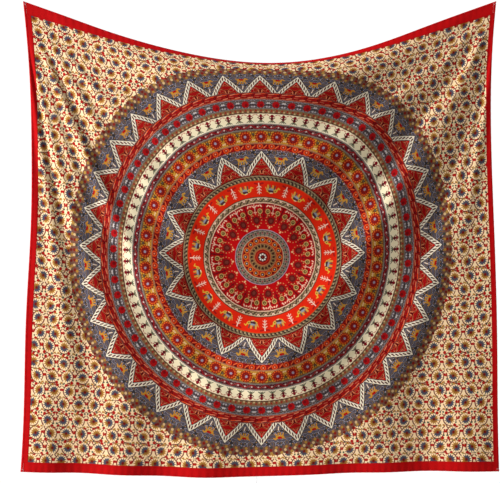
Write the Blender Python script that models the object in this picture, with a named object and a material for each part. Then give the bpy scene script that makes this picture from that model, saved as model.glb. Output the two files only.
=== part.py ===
"""Printed cotton wall hanging, held up by its two top corners.

The cloth is a rectangle of cotton that hangs in soft folds.  Every piece of it (the printed
panel, four border bands, four rolled hems, the stitching and the folded corners) is a strip of
one hung surface.  hung() turns a place on the flat cloth into a place in space, so neighbours
meet edge to edge whatever the folds do.

Frame: origin midway between the two top corners, on the wall.  +Z up, front towards -Y.
"""

import bpy
import numpy as np

# ---------------------------------------------------------------- driving dimensions, metres
WIDTH = 2.33            # the flat cloth, left to right
DROP = 2.13             # the flat cloth, top to bottom
BORDER = {"left": 0.034, "right": 0.026, "top": 0.056, "bottom": 0.046}  # hem included
HEM = 0.012             # finished width of the rolled hem
CORNER = 0.012          # side of the folded packet where two hems cross

PANEL_THICK = 0.0010
BORDER_THICK = 0.0010
HEM_THICK = 0.0024      # three layers of cloth
CORNER_THICK = 0.0040   # hem folded over hem
THREAD = 0.0008         # sewing thread as it lies on the cloth
GAP = 0.0004            # between neighbouring pieces
STITCH_INSET = 0.0030   # from a fold or a seam to its row of stitching

CELL = 0.062            # side of one facet on the flat cloth
WALL_CLEARANCE = CORNER_THICK / 2   # from the wall to the middle of the cloth at the corners

TAIL_LENGTH = 0.032     # loose thread end below the bottom hem
TAIL_ACROSS = 1.138     # its place along the bottom hem, from the left
TAIL_DIAMETER = 0.0010

# ---------------------------------------------------------------- outline of the hung cloth
# Each edge: share of the way along it, then across and up.
TOP_EDGE = (
    (0.0, -1.112, 0.0), (0.085, -0.925, -0.067), (0.165, -0.750, -0.131),
    (0.335, -0.374, -0.242), (0.52, 0.049, -0.298), (0.684, 0.425, -0.249),
    (0.846, 0.777, -0.123), (1.0, 1.112, 0.0),
)
BOTTOM_EDGE = (
    (0.0, -1.120, -2.209), (0.19, -0.700, -2.222), (0.42, -0.172, -2.236),
    (0.60, 0.237, -2.222), (0.78, 0.627, -2.210), (0.90, 0.895, -2.207),
    (1.0, 1.124, -2.209),
)
# Each side: share of the way down, then across.
LEFT_EDGE = (
    (0.0, -1.112), (0.12, -1.086), (0.32, -1.071), (0.47, -1.074), (0.68, -1.098),
    (0.91, -1.109), (1.0, -1.120),
)
RIGHT_EDGE = (
    (0.0, 1.112), (0.094, 1.094), (0.32, 1.088), (0.49, 1.102), (0.735, 1.116),
    (0.914, 1.119), (1.0, 1.124),
)
LOWER_STRETCH = 1.075   # the middle threads hang this much straighter low down ...
TOP_ROLL = 14           # ... and roll over this sharply just under the sagging top edge
PULL = 0.045            # how far the right top corner draws the print towards it
PULL_AT = (0.50, -0.62)  # centre of that pull, across and up
PULL_REACH = 0.30

# ---------------------------------------------------------------- folds
# Folds run from a held corner like spokes: angle below the level at the corner, change of
# angle per metre, half width (all degrees), steepness, and where the fold dies away (metres).
LEFT_FOLDS = (
    (27.0, 2.0, 5.0, 0.16, 0.8), (58.5, -15.0, 3.6, 0.26, 0.95), (61.5, -5.0, 2.9, 0.24, 1.10),
    (70.5, -4.2, 3.5, 0.36, 1.45), (78.0, -2.5, 2.7, 0.32, 1.70), (82.6, 0.0, 2.0, 0.20, 1.85),
    (86.4, 0.0, 1.6, 0.14, 2.00),
)
RIGHT_FOLDS = (
    (28.0, 0.0, 5.0, 0.10, 0.8), (54.0, -11.5, 4.2, 0.26, 1.15), (76.0, -23.0, 2.6, 0.15, 1.30),
    (68.5, -5.0, 4.4, 0.36, 1.90), (88.0, -7.5, 2.6, 0.18, 2.10),
)
FOLD_GROWS = 0.22       # a fold reaches full height this far from its corner
FOLD_FADES = 0.45       # and takes this long to die away
SWAG = (-0.20, -1.880, 0.20, 0.055, 0.020, -0.32)  # across, up, half length, half width, height, slope
COWL = 0.085            # the slack under the top edge stands this far forward
BELLY = 0.020           # the rest of the middle
FREE_EDGE_WAVE = 0.010  # waves along the free bottom edge
WAVES = 5.5

RED = (0.55, 0.004, 0.006)
CREAM = (0.80, 0.66, 0.44)
DARK_RED = (0.36, 0.004, 0.006)
GREY = (0.45, 0.43, 0.42)
FABRIC_ROUGHNESS = 0.85


# ---------------------------------------------------------------- the hung surface
def smooth_through(points, column, at):
    """Natural cubic spline through hand-placed points, read at the shares `at`."""
    table = np.asarray(points, float)
    knots, values = table[:, 0], table[:, column]
    steps, count = np.diff(knots), len(knots)
    matrix, wanted = np.eye(count), np.zeros(count)
    for i in range(1, count - 1):
        matrix[i, i - 1:i + 2] = steps[i - 1], 2 * (steps[i - 1] + steps[i]), steps[i]
        rises = np.diff(values[i - 1:i + 2]) / steps[i - 1:i + 1]
        wanted[i] = 6 * (rises[1] - rises[0])
    bend = np.linalg.solve(matrix, wanted)
    at = np.clip(at, knots[0], knots[-1])
    i = np.clip(np.searchsorted(knots, at) - 1, 0, count - 2)
    t, h = at - knots[i], steps[i]
    slope = (values[i + 1] - values[i]) / h - h * (2 * bend[i] + bend[i + 1]) / 6
    return values[i] + t * slope + t ** 2 * bend[i] / 2 + t ** 3 * (bend[i + 1] - bend[i]) / (6 * h)


def outline(u, v):
    """Across and up, on the wall plane, of the flat cloth's point u from the left, v from the
    bottom: the four edges blended over the cloth, with the threads bunched under the top."""
    s, n = u / WIDTH, v / DROP
    top, bottom = TOP_EDGE, BOTTOM_EDGE
    across = (1 - n) * smooth_through(bottom, 1, s) + n * smooth_through(top, 1, s)
    across += (1 - s) * smooth_through(LEFT_EDGE, 1, 1 - n) + s * smooth_through(RIGHT_EDGE, 1, 1 - n)
    across -= (1 - s) * ((1 - n) * bottom[0][1] + n * top[0][1])
    across -= s * ((1 - n) * bottom[-1][1] + n * top[-1][1])
    slack = (LOWER_STRETCH - 1) * np.sin(np.pi * np.clip(s, 0, 1)) ** 1.5
    rise = (1 + slack) * n - slack * n ** TOP_ROLL
    up = (1 - rise) * smooth_through(bottom, 2, s) + rise * smooth_through(top, 2, s)
    near = (across - PULL_AT[0]) ** 2 + (up - PULL_AT[1]) ** 2
    drawn = PULL * np.exp(-near / PULL_REACH ** 2) / np.sqrt(2)
    return across + drawn, up + drawn


def ease(x):
    """0 below 0, 1 above 1, and a smooth step between."""
    x = np.clip(x, 0, 1)
    return x * x * (3 - 2 * x)


def spokes(across, down, folds):
    """Height of the folds that run from one corner; across and down are measured from it."""
    reach = np.hypot(across, down) + 1e-9
    angle = np.degrees(np.arctan2(down, across))
    height = np.zeros_like(reach)
    for level, turn, half_width, steepness, end in folds:
        off = (angle - level - turn * reach) / half_width
        fade = ease(reach / FOLD_GROWS) * (1 - ease((reach - end) / FOLD_FADES))
        height += steepness * reach * np.radians(half_width) * np.exp(-off ** 2) * fade
    return height


def forward(u, v, across, up):
    """How far the cloth stands in front of its corners."""
    n = v / DROP
    held = ease(np.minimum(np.hypot(across + TOP_EDGE[-1][1], up),
                           np.hypot(across - TOP_EDGE[-1][1], up)) / 0.25)
    left = spokes(across - TOP_EDGE[0][1], -up, LEFT_FOLDS)
    right = spokes(TOP_EDGE[-1][1] - across, -up, RIGHT_FOLDS)
    middle = np.cos(np.clip(across / 1.15, -1, 1) * np.pi / 2) ** 2
    cowl = COWL * middle * (ease((n - 0.45) / 0.46) - ease((n - 0.90) / 0.13))
    belly = BELLY * middle * ease(n / 0.5)
    x0, z0, half_length, half_width, height, slope = SWAG
    along = ((across - x0) + slope * (up - z0)) / half_length
    beside = ((up - z0) - slope * (across - x0)) / half_width
    swag = height * np.exp(-along ** 2 - beside ** 2)
    wave = FREE_EDGE_WAVE * (1 - ease(n / 0.35)) * (1 + np.sin(2 * np.pi * WAVES * u / WIDTH + 0.6))
    return held * (0.004 + left + right + cowl + belly + swag + wave)


def hung(u, v):
    """Places (and front normals) on the middle of the cloth for the flat places u, v."""
    def place(a, b):
        across, up = outline(a, b)
        return np.stack([across, -WALL_CLEARANCE - forward(a, b, across, up), up], axis=-1)

    step = 0.002
    rightward = place(u + step, v) - place(u - step, v)
    upward = place(u, v + step) - place(u, v - step)
    normal = np.cross(rightward, upward)
    return place(u, v), normal / np.linalg.norm(normal, axis=-1, keepdims=True)


# ---------------------------------------------------------------- making solids
def between(span, start, end, *extra):
    """Grid lines from start to end: the whole cloth's shared lines that fall between, so that
    neighbours bend at the same places, and any extra ones."""
    shared = np.linspace(0, span, round(span / CELL) + 1)
    inside = shared[(shared > start + CELL / 5) & (shared < end - CELL / 5)]
    return np.array(sorted({start, end, *inside.tolist(), *extra}))


def fabric(name, colour):
    """A matt woven material."""
    material = bpy.data.materials.new(name)
    material.use_nodes = True
    shader = material.node_tree.nodes["Principled BSDF"]
    shader.inputs["Base Color"].default_value = (*colour, 1)
    shader.inputs["Roughness"].default_value = FABRIC_ROUGHNESS
    shader.inputs["Metallic"].default_value = 0.0
    return material


def skins(name, front, back, material):
    """A closed solid between two grids of points of one size: both skins and a rim.  Each
    twisted facet is split along the same diagonal on both skins, so that they never cross."""
    rows, columns = front.shape[:2]
    count = rows * columns
    index = np.arange(count).reshape(rows, columns)
    a, b, c, d = (corner.ravel() for corner in (
        index[:-1, :-1], index[:-1, 1:], index[1:, 1:], index[1:, :-1]))
    halves = np.concatenate([np.stack([a, b, c], -1), np.stack([a, c, d], -1)])
    around = np.concatenate([index[0, :-1], index[:-1, -1], index[-1, :0:-1], index[:0:-1, 0]])
    onward = np.roll(around, -1)
    rim = np.stack([around, around + count, onward + count, onward], -1)
    faces = halves.tolist() + (halves[:, ::-1] + count).tolist() + rim.tolist()
    points = np.concatenate([front.reshape(-1, 3), back.reshape(-1, 3)])
    mesh = bpy.data.meshes.new(name)
    mesh.from_pydata(points.tolist(), [], faces)
    mesh.materials.append(material)
    mesh.update()
    made = bpy.data.objects.new(name, mesh)
    bpy.context.collection.objects.link(made)
    return made


def strip(name, across, up, thick, material, lift=0.0):
    """A piece of cloth over the flat grid lines across and up, half a thickness either side of
    the hung surface and moved forward by lift."""
    u, v = np.meshgrid(across, up)
    middle, normal = hung(u, v)
    front = middle + normal * (lift + thick / 2)
    return skins(name, front, front - normal * thick, material)


def packet(name, across, up, material):
    """The folded corner that is fixed to the wall: a flat block whose back is at y = 0."""
    u, v = np.meshgrid(across, up)
    x, z = outline(u, v)
    front = np.stack([x, np.full_like(x, -CORNER_THICK), z], -1)
    return skins(name, front, front + np.array([0, CORNER_THICK, 0]), material)


# ---------------------------------------------------------------- the pieces
def make_panel(printed):
    across = between(WIDTH, BORDER["left"] + GAP, WIDTH - BORDER["right"] - GAP)
    up = between(DROP, BORDER["bottom"] + GAP, DROP - BORDER["top"] - GAP)
    strip("printed_panel", across, up, PANEL_THICK, printed)


def make_edge(side, red, dark_red):
    """The border band, rolled hem and two rows of stitching along one side of the cloth."""
    level = side in ("top", "bottom")
    far = side in ("top", "right")
    length, depth = (WIDTH, DROP) if level else (DROP, WIDTH)

    def inward(distance):
        """A line parallel to this edge, that distance inside it."""
        return depth - distance if far else distance

    def lay(name, runs, distances, thick, material, lift=0.0):
        along = between(length, *runs)
        beside = np.sort([inward(d) for d in distances])
        grid = (along, beside) if level else (beside, along)
        strip(name, *grid, thick, material, lift)

    width = BORDER[side]
    hem_run = (CORNER + GAP, length - CORNER - GAP)
    hem_row = HEM - STITCH_INSET
    lay(f"{side}_hem", hem_run, (0, hem_row, HEM), HEM_THICK, red)
    lay(f"{side}_hem_stitching", hem_run, (hem_row - THREAD / 2, hem_row + THREAD / 2),
        THREAD, dark_red, HEM_THICK / 2 + GAP + THREAD / 2)

    if level:
        run = (HEM + GAP, WIDTH - HEM - GAP)
    else:
        run = (BORDER["bottom"] + GAP, DROP - BORDER["top"] - GAP)
    seam_row = width - STITCH_INSET
    lay(f"{side}_border", run, (HEM + GAP, seam_row, width), BORDER_THICK, red)
    lay(f"{side}_seam_stitching", run, (seam_row - THREAD / 2, seam_row + THREAD / 2),
        THREAD, dark_red, BORDER_THICK / 2 + GAP + THREAD / 2)


def make_corners(red):
    """Where two hems cross, the cloth is folded into a thick square packet."""
    for down_name, up in (("top", (DROP - CORNER, DROP)), ("bottom", (0, CORNER))):
        for side, across in (("left", (0, CORNER)), ("right", (WIDTH - CORNER, WIDTH))):
            name = f"{down_name}_{side}_corner"
            if down_name == "top":
                packet(name, across, up, red)
            else:
                strip(name, across, up, CORNER_THICK, red)


def make_tail(grey):
    """The end of sewing thread that hangs from the bottom hem, in a slight bow."""
    start, _ = hung(np.array(TAIL_ACROSS), np.array(0.0))
    drop = np.linspace(0, TAIL_LENGTH, round(TAIL_LENGTH / (2.5 * TAIL_DIAMETER)) + 1)
    bow = 0.0016 * np.sin(np.pi * drop / TAIL_LENGTH)
    curve = bpy.data.curves.new("loose_thread", "CURVE")
    curve.dimensions = "3D"
    curve.bevel_depth = TAIL_DIAMETER / 2
    curve.bevel_resolution = 2
    curve.use_fill_caps = True
    spline = curve.splines.new("POLY")
    spline.points.add(len(drop) - 1)
    for point, d, b in zip(spline.points, drop, bow):
        point.co = (start[0] + b, start[1] - b, start[2] - GAP - d, 1)
    curve.materials.append(grey)
    thread = bpy.data.objects.new("loose_thread", curve)
    bpy.context.collection.objects.link(thread)


def main():
    for old in list(bpy.data.objects):
        bpy.data.objects.remove(old, do_unlink=True)
    printed, red = fabric("printed_cotton", CREAM), fabric("red_cotton", RED)
    dark_red, grey = fabric("red_thread", DARK_RED), fabric("grey_thread", GREY)
    make_panel(printed)
    for side in BORDER:
        make_edge(side, red, dark_red)
    make_corners(red)
    make_tail(grey)


main()
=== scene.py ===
# %% [markdown]
# # A printed cotton wall hanging
#
# The object is one thin cotton cloth, about 2.3 m wide, that hangs from its two top corners. Its
# top edge sags, folds run down from both corners, and a round mandala covers the middle. Red
# bands frame the print, and the outer edge is turned twice and stitched.
#
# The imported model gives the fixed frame: where each piece is. This script gives the looks: fine
# cloth, rounded hems, single stitches, and a print that is drawn by formulas.

# %% Load the frame
import math

import bpy
import numpy as np
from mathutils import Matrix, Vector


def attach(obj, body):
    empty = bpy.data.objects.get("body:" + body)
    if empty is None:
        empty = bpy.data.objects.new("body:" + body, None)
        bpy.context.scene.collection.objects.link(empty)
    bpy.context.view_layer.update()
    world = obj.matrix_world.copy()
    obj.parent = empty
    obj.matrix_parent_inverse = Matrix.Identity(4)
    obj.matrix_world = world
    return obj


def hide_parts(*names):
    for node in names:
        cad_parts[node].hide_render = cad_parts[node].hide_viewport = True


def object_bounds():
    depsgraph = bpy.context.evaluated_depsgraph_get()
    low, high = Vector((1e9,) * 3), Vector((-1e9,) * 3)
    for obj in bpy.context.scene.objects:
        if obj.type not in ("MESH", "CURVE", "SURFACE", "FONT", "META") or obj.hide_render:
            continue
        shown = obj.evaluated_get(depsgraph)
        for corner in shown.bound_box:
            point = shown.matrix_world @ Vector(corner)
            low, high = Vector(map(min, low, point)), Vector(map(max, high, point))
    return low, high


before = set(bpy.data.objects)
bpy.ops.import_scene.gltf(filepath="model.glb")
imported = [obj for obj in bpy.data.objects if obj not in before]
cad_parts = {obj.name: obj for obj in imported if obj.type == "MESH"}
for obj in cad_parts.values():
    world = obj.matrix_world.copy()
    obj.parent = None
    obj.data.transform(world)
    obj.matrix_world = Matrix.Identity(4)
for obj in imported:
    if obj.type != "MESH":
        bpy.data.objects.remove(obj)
cad_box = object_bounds()
print("CAD box:", [round(x, 3) for corner in cad_box for x in corner])

# %% [markdown]
# ## The camera
#
# A cloth on a wall is looked at straight on. A long lens from 6 m keeps the edges as straight as
# they are. The camera stands level with the middle of the cloth.

# %% Camera
VIEW_DISTANCE = 6.0
VIEW_WIDTH = 2.35        # how much of the wall the view takes in
SENSOR = 36.0            # millimetres
VIEW_CENTRE = (-0.0454, -1.130)

camera = bpy.data.objects.new("camera", bpy.data.cameras.new("camera"))
camera.data.sensor_width = SENSOR
camera.data.lens = SENSOR * VIEW_DISTANCE / VIEW_WIDTH
camera.location = (VIEW_CENTRE[0], -VIEW_DISTANCE, VIEW_CENTRE[1])
camera.rotation_euler = (math.pi / 2, 0, 0)
bpy.context.scene.collection.objects.link(camera)
bpy.context.scene.camera = camera
print("lens:", round(camera.data.lens, 1), "mm")

# %% [markdown]
# ## The hung surface
#
# Real cloth keeps its length and bends freely. Its shape here is a function: it takes a place on
# the flat cloth, u metres from the left and v metres from the bottom, and gives the place in
# space. Every piece is cut from that one function, so the pieces meet wherever the folds go.
#
# First come the cut sizes, then the four edges of the cloth as it hangs. A natural cubic spline
# runs through a few points of each edge.

# %% Sizes of the cut cloth, in metres
WIDTH, DROP = 2.33, 2.13
BORDER = {"left": 0.034, "right": 0.026, "top": 0.056, "bottom": 0.046}
HEM = 0.012
CORNER = 0.012
STITCH_INSET = 0.0030
GAP = 0.0004
CORNER_THICK = 0.0040
WALL_CLEARANCE = CORNER_THICK / 2

TOP_EDGE = (
    (0.0, -1.112, 0.0), (0.085, -0.925, -0.067), (0.165, -0.750, -0.131),
    (0.335, -0.374, -0.242), (0.52, 0.049, -0.298), (0.684, 0.425, -0.249),
    (0.846, 0.777, -0.123), (1.0, 1.112, 0.0),
)
BOTTOM_EDGE = (
    (0.0, -1.120, -2.209), (0.19, -0.700, -2.222), (0.42, -0.172, -2.236),
    (0.60, 0.237, -2.222), (0.78, 0.627, -2.210), (0.90, 0.895, -2.207),
    (1.0, 1.124, -2.209),
)
LEFT_EDGE = (
    (0.0, -1.112), (0.12, -1.086), (0.32, -1.071), (0.47, -1.074), (0.68, -1.098),
    (0.91, -1.109), (1.0, -1.120),
)
RIGHT_EDGE = (
    (0.0, 1.112), (0.094, 1.094), (0.32, 1.088), (0.49, 1.102), (0.735, 1.116),
    (0.914, 1.119), (1.0, 1.124),
)
LOWER_STRETCH, TOP_ROLL = 1.075, 14     # how much fuller the lower cloth is, and how near the top it ends
PULL, PULL_AT, PULL_REACH = 0.045, (0.50, -0.62), 0.30     # a spot drawn towards the upper right


def smooth_through(points, column, at):
    """Natural cubic spline through given points, read at the shares `at`."""
    table = np.asarray(points, float)
    knots, values = table[:, 0], table[:, column]
    steps, count = np.diff(knots), len(knots)
    matrix, wanted = np.eye(count), np.zeros(count)
    for i in range(1, count - 1):
        matrix[i, i - 1:i + 2] = steps[i - 1], 2 * (steps[i - 1] + steps[i]), steps[i]
        rises = np.diff(values[i - 1:i + 2]) / steps[i - 1:i + 1]
        wanted[i] = 6 * (rises[1] - rises[0])
    bend = np.linalg.solve(matrix, wanted)
    at = np.clip(at, knots[0], knots[-1])
    i = np.clip(np.searchsorted(knots, at) - 1, 0, count - 2)
    t, h = at - knots[i], steps[i]
    slope = (values[i + 1] - values[i]) / h - h * (2 * bend[i] + bend[i + 1]) / 6
    return values[i] + t * slope + t ** 2 * bend[i] / 2 + t ** 3 * (bend[i + 1] - bend[i]) / (6 * h)


def outline(u, v):
    """Across and up on the wall: the four edges blended over the cloth (the sum of the two
    blends between opposite edges, less the blend of the four corners)."""
    s, n = u / WIDTH, v / DROP
    top, bottom = TOP_EDGE, BOTTOM_EDGE
    across = (1 - n) * smooth_through(bottom, 1, s) + n * smooth_through(top, 1, s)
    across += (1 - s) * smooth_through(LEFT_EDGE, 1, 1 - n) + s * smooth_through(RIGHT_EDGE, 1, 1 - n)
    across -= (1 - s) * ((1 - n) * bottom[0][1] + n * top[0][1])
    across -= s * ((1 - n) * bottom[-1][1] + n * top[-1][1])
    slack = (LOWER_STRETCH - 1) * np.sin(np.pi * np.clip(s, 0, 1)) ** 1.5
    rise = (1 + slack) * n - slack * n ** TOP_ROLL
    up = (1 - rise) * smooth_through(bottom, 2, s) + rise * smooth_through(top, 2, s)
    near = (across - PULL_AT[0]) ** 2 + (up - PULL_AT[1]) ** 2
    drawn = PULL * np.exp(-near / PULL_REACH ** 2) / np.sqrt(2)
    return across + drawn, up + drawn


print("top edge sags", TOP_EDGE[4][2], "m")

# %% [markdown]
# ## The folds
#
# Cloth that is held at a corner folds along lines that run from that corner like spokes. Each
# fold is a rounded ridge (a bell curve across its angle) that grows near the corner and dies away
# further down. The slack under the sagging edge stands forward like a cowl neck, and the free
# bottom edge waves a little.

# %% Folds: angle below level, turn per metre, half width (degrees), steepness, where it ends
LEFT_FOLDS = (
    (27.0, 2.0, 5.0, 0.16, 0.8), (58.5, -15.0, 3.6, 0.26, 0.95), (61.5, -5.0, 2.9, 0.24, 1.10),
    (70.5, -4.2, 3.5, 0.36, 1.45), (78.0, -2.5, 2.7, 0.32, 1.70), (82.6, 0.0, 2.0, 0.20, 1.85),
    (86.4, 0.0, 1.6, 0.14, 2.00),
)
RIGHT_FOLDS = (
    (28.0, 0.0, 5.0, 0.10, 0.8), (54.0, -11.5, 4.2, 0.26, 1.15), (76.0, -23.0, 2.6, 0.15, 1.30),
    (68.5, -5.0, 4.4, 0.36, 1.90), (88.0, -7.5, 2.6, 0.18, 2.10),
)
FOLD_GROWS, FOLD_FADES = 0.22, 0.45
SWAG = (-0.20, -1.880, 0.20, 0.055, 0.020, -0.32)   # middle x z, half length and width, height, slope
COWL, BELLY = 0.085, 0.020               # metres forward
FREE_EDGE_WAVE, WAVES = 0.010, 5.5
PUCKER, PUCKER_WAVE, PUCKER_REACH = 0.0009, 0.034, 0.045
CREASE_TURN, CREASE_FADE = 6.4, 0.95     # degrees from crease to crease, metres
CREASES_FROM, CREASES_TO = 36, 82        # degrees below level
LEFT_CREASE, RIGHT_CREASE = 0.0120, 0.0064
HELD_REACH, STAND_OFF = 0.25, 0.004      # a corner holds the cloth back this far; its gap beyond


def ease(x):
    """0 below 0, 1 above 1, and a smooth step (3x^2 - 2x^3) between."""
    x = np.clip(x, 0, 1)
    return x * x * (3 - 2 * x)


def spokes(across, down, folds):
    """Height of the folds from one corner: for each, steepness times its half width in metres
    times a bell curve of the angle off its spine."""
    reach = np.hypot(across, down) + 1e-9
    angle = np.degrees(np.arctan2(down, across))
    height = np.zeros_like(reach)
    for level, turn, half_width, steepness, end in folds:
        off = (angle - level - turn * reach) / half_width
        fade = ease(reach / FOLD_GROWS) * (1 - ease((reach - end) / FOLD_FADES))
        height += steepness * reach * np.radians(half_width) * np.exp(-off ** 2) * fade
    return height


def puckers(u, v):
    """Tiny gathers that a sewn edge pulls into the cloth: sine waves along each edge that fade
    with the distance from it."""
    height = np.zeros(np.broadcast(u, v).shape)
    for along, away in ((v, u), (v, WIDTH - u), (u, v), (u, DROP - v)):
        wave = np.sin(2 * np.pi * along / PUCKER_WAVE + 2.0 * np.sin(11.0 * along))
        height = height + wave * np.exp(-np.maximum(away, 0) / PUCKER_REACH)
    return PUCKER * height


def creases(across, down, strength):
    """Narrow creases between the folds: a sine of the angle round a corner, as high as
    strength times the distance, that fades out down the cloth."""
    reach = np.hypot(across, down)
    angle = np.degrees(np.arctan2(down, across))
    wave = np.sin(2 * np.pi * angle / CREASE_TURN + 2.2 * np.sin(angle / 7 + 2 * reach))
    window = ease((angle - CREASES_FROM) / 14) * (1 - ease((angle - CREASES_TO) / 7))
    fade = ease((reach - 0.10) / 0.3) * np.exp(-reach / CREASE_FADE)
    return strength * reach * wave * window * fade


def forward(u, v, across, up):
    """How far the cloth stands in front of its corners: the sum of all folds."""
    n = v / DROP
    held = ease(np.minimum(np.hypot(across + TOP_EDGE[-1][1], up),
                           np.hypot(across - TOP_EDGE[-1][1], up)) / HELD_REACH)
    left = (spokes(across - TOP_EDGE[0][1], -up, LEFT_FOLDS)
            + creases(across - TOP_EDGE[0][1], -up, LEFT_CREASE))
    right = (spokes(TOP_EDGE[-1][1] - across, -up, RIGHT_FOLDS)
             + creases(TOP_EDGE[-1][1] - across, -up, RIGHT_CREASE))
    middle = np.cos(np.clip(across / 1.15, -1, 1) * np.pi / 2) ** 2
    cowl = COWL * middle * (ease((n - 0.45) / 0.46) - ease((n - 0.90) / 0.13))
    belly = BELLY * middle * ease(n / 0.5)
    x0, z0, half_length, half_width, height, slope = SWAG
    along = ((across - x0) + slope * (up - z0)) / half_length
    beside = ((up - z0) - slope * (across - x0)) / half_width
    swag = height * np.exp(-along ** 2 - beside ** 2)
    wave = FREE_EDGE_WAVE * (1 - ease(n / 0.35)) * (1 + np.sin(2 * np.pi * WAVES * u / WIDTH + 0.6))
    return held * (STAND_OFF + left + right + cowl + belly + swag + wave + puckers(u, v))


def hung(u, v):
    """Places and front normals (the cross product of the two slopes) for flat places u, v."""
    def place(a, b):
        across, up = outline(a, b)
        return np.stack([across, -WALL_CLEARANCE - forward(a, b, across, up), up], axis=-1)

    step = 0.002
    rightward = place(u + step, v) - place(u - step, v)
    upward = place(u, v + step) - place(u, v - step)
    normal = np.cross(rightward, upward)
    return place(u, v), normal / np.linalg.norm(normal, axis=-1, keepdims=True)


middle_place, _ = hung(np.array(WIDTH / 2), np.array(DROP / 2))
print("middle of the cloth:", middle_place.round(3))

# %% [markdown]
# ## From grids of points to pieces
#
# A piece of cloth is two skins, front and back, half a thickness either side of the hung surface,
# and a rim that closes them. Its UV map holds flat cloth coordinates in metres, measured from the
# centre of the mandala, so a pattern follows the cloth through every fold.

# %% Mesh helpers
MANDALA_CENTRE = (WIDTH / 2 - 0.006, DROP / 2 - 0.012)
SHARP_EDGE = math.radians(50)


def new_piece(name, points, faces, flat, materials, slots=None):
    """A mesh object from arrays of points, faces and flat cloth places. A face is a list of three
    or four corners; if the closed form is inside out, it is turned."""
    mesh = bpy.data.meshes.new(name)
    mesh.from_pydata(points.tolist(), [], faces)
    corners = np.empty(len(mesh.loops), int)
    mesh.loops.foreach_get("vertex_index", corners)
    uv = mesh.uv_layers.new(name="cloth")
    uv.data.foreach_set("uv", (flat[corners] - MANDALA_CENTRE).ravel())
    for material in materials:
        mesh.materials.append(material)
    if slots is not None:
        mesh.polygons.foreach_set("material_index", slots)
    mesh.shade_smooth()
    mesh.set_sharp_from_angle(angle=SHARP_EDGE)
    starts = np.empty(len(mesh.polygons), int)
    mesh.polygons.foreach_get("loop_start", starts)
    a, b, c = (corners[starts + k] for k in range(3))
    if (points[a] * np.cross(points[b], points[c])).sum() < 0:
        mesh.flip_normals()
    made = bpy.data.objects.new(name, mesh)
    bpy.context.scene.collection.objects.link(made)
    return made


def grid_faces(rows, columns):
    """Four-cornered faces over a grid of points, row by row."""
    index = np.arange(rows * columns).reshape(rows, columns)
    return np.stack([index[:-1, :-1], index[:-1, 1:], index[1:, 1:], index[1:, :-1]], -1).reshape(-1, 4)


def cloth_sheet(name, across, up, thick, lift, materials):
    """Two skins over the flat grid lines and a rim: front = place + normal (lift + thick / 2).
    The back skin and the rim take the second material."""
    u, v = np.meshgrid(across, up)
    middle, normal = hung(u, v)
    front = middle + normal * (lift + thick / 2)
    back = middle + normal * (lift - thick / 2)
    rows, columns = u.shape
    count = rows * columns
    index = np.arange(count).reshape(rows, columns)
    skin = grid_faces(rows, columns)
    around = np.concatenate([index[0, :-1], index[:-1, -1], index[-1, :0:-1], index[:0:-1, 0]])
    onward = np.roll(around, -1)
    rim = np.stack([around, around + count, onward + count, onward], -1)
    flat = np.stack([u, v], -1).reshape(-1, 2)
    slots = np.repeat([0, len(materials) - 1], [len(skin), len(skin) + len(rim)])
    return new_piece(name, np.concatenate([front.reshape(-1, 3), back.reshape(-1, 3)]),
                     np.concatenate([skin, skin[:, ::-1] + count, rim]).tolist(),
                     np.concatenate([flat, flat]), materials, slots.astype(np.int32))


def tube_faces(rings, around):
    """Four-cornered faces over rings of points, closed round each ring."""
    i = np.arange(rings - 1)[:, None] * around
    j = np.arange(around)[None]
    k = (j + 1) % around
    corners = np.broadcast_arrays(i + j, i + k, i + around + k, i + around + j)
    return np.stack(corners, -1).reshape(-1, 4)


def closed_tube(name, points, flat, materials):
    """A tube over rings of points (ring, place round it, xyz), closed by a fan at each end."""
    rings, around = points.shape[:2]
    loop = np.arange(around)
    onward = (loop + 1) % around
    first, last = rings * around, rings * around + 1
    start = np.stack([onward, loop, np.full(around, first)], -1)
    end = np.stack([loop + first - around, onward + first - around, np.full(around, last)], -1)
    return new_piece(name, np.concatenate([points.reshape(-1, 3), points[[0, -1]].mean(1)]),
                     tube_faces(rings, around).tolist() + start.tolist() + end.tolist(),
                     np.concatenate([flat.reshape(-1, 2), flat[[0, -1]].mean(1)]), materials)


def stands_for(piece, node):
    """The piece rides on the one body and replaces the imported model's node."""
    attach(piece, "root")
    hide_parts(node)


print("mandala centre on the flat cloth:", MANDALA_CENTRE)

# %% [markdown]
# ## The loose thread
#
# One end of sewing thread was left uncut below the bottom hem. It is a thin round tube that hangs
# down with a slight bow.

# %% Loose thread
TAIL_LENGTH, TAIL_ACROSS, TAIL_DIAMETER = 0.032, 1.138, 0.0010

tail_top, _ = hung(np.array(TAIL_ACROSS), np.array(0.0))
tail_drop = np.linspace(0, TAIL_LENGTH, 40)
tail_bow = 0.0016 * np.sin(np.pi * tail_drop / TAIL_LENGTH)
tail_places = tail_top + np.stack([tail_bow, -tail_bow, -GAP - tail_drop], -1)
tail_turn = np.linspace(0, 2 * np.pi, 10, endpoint=False)
tail_round = np.stack([np.cos(tail_turn), np.sin(tail_turn), 0 * tail_turn], -1) * TAIL_DIAMETER / 2
loose_thread = closed_tube(
    "loose_thread_end", tail_places[:, None] + tail_round[None],
    np.stack(np.broadcast_arrays(tail_drop[:, None], 0.0004 * tail_turn[None]), -1), [])
stands_for(loose_thread, "loose_thread")
print("thread hangs to", round(float(tail_places[-1, 2]), 4))

# %% [markdown]
# ## Writing shader sums as Python
#
# The print needs hundreds of small sums. A small class wraps a socket, so that `a * 2 + b` adds
# the Math nodes. Every other node comes from one method: settings first, then the inputs.

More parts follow.
